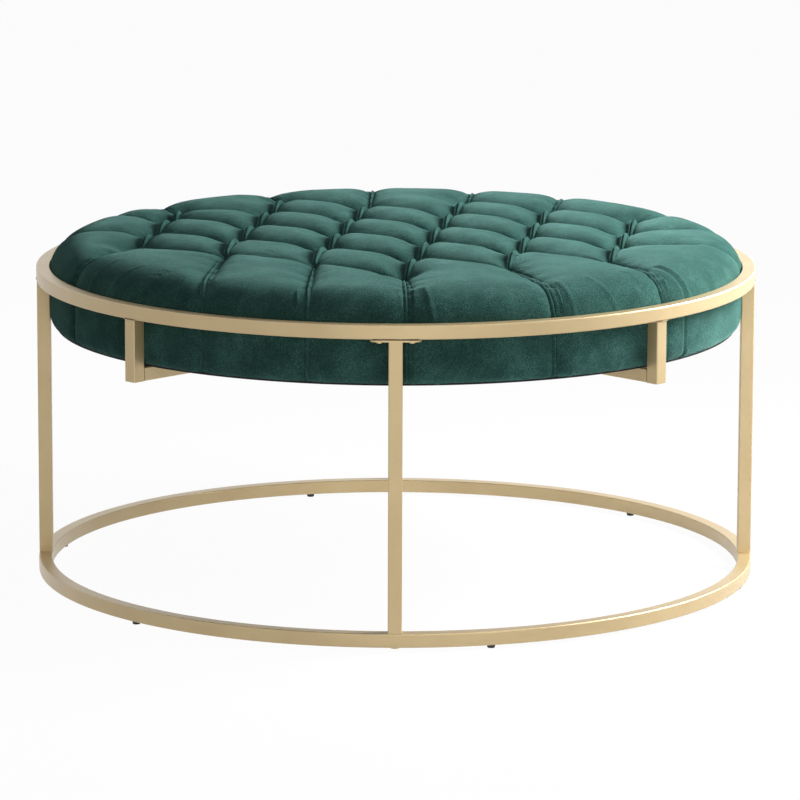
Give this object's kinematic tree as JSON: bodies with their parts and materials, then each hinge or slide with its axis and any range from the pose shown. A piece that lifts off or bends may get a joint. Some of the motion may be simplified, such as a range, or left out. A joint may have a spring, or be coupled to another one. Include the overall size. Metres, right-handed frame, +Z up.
{
  "type": "ottoman coffee table",
  "caption": "Round ottoman coffee table: a tufted velvet cushion set in a ring frame of square gold tube, on straight legs down to a matching base ring.",
  "frame": {"origin": "on the floor below the centre of the rings", "axes": "+Z up; -Y towards the leg nearest the picture's camera; +X to its right"},
  "size_m": [1.016, 1.016, 0.493],
  "materials": {
    "frame_metal": "satin champagne gold paint on steel tube",
    "insert_steel": "zinc plated",
    "screw_steel": "champagne gold plated",
    "foot_plastic": "matte black moulded",
    "velvet": "deep teal velvet with a short sheen pile",
    "plywood": "raw plywood",
    "foam": "open cell foam",
    "twine": "waxed twine",
    "dust_cloth": "black non-woven cloth"
  },
  "bodies": {
    "root": {"base_ring": "frame_metal", "top_ring": "frame_metal", "leg_front": "frame_metal", "leg_right": "frame_metal", "leg_back": "frame_metal", "leg_left": "frame_metal", "leg_plate_front": "frame_metal", "leg_plate_right": "frame_metal", "leg_plate_back": "frame_metal", "leg_plate_left": "frame_metal", "ring_inserts": "insert_steel", "plate_screws": "screw_steel", "leg_plugs": "insert_steel", "leg_bolts": "screw_steel", "foot_1": "foot_plastic", "foot_2": "foot_plastic", "foot_3": "foot_plastic", "foot_4": "foot_plastic", "foot_5": "foot_plastic", "foot_6": "foot_plastic", "upright_front_right": "frame_metal", "upright_back_right": "frame_metal", "upright_back_left": "frame_metal", "upright_front_left": "frame_metal", "upright_ends": "frame_metal", "cross_bar_whole": "frame_metal", "cross_bar_front_left": "frame_metal", "cross_bar_back_right": "frame_metal", "tufted_cover": "velvet", "seat_board": "plywood", "foam_pad": "foam", "tuft_ties": "twine", "dust_cover": "dust_cloth", "tee_nuts": "insert_steel", "seat_screws": "screw_steel"}
  },
  "joints": []
}
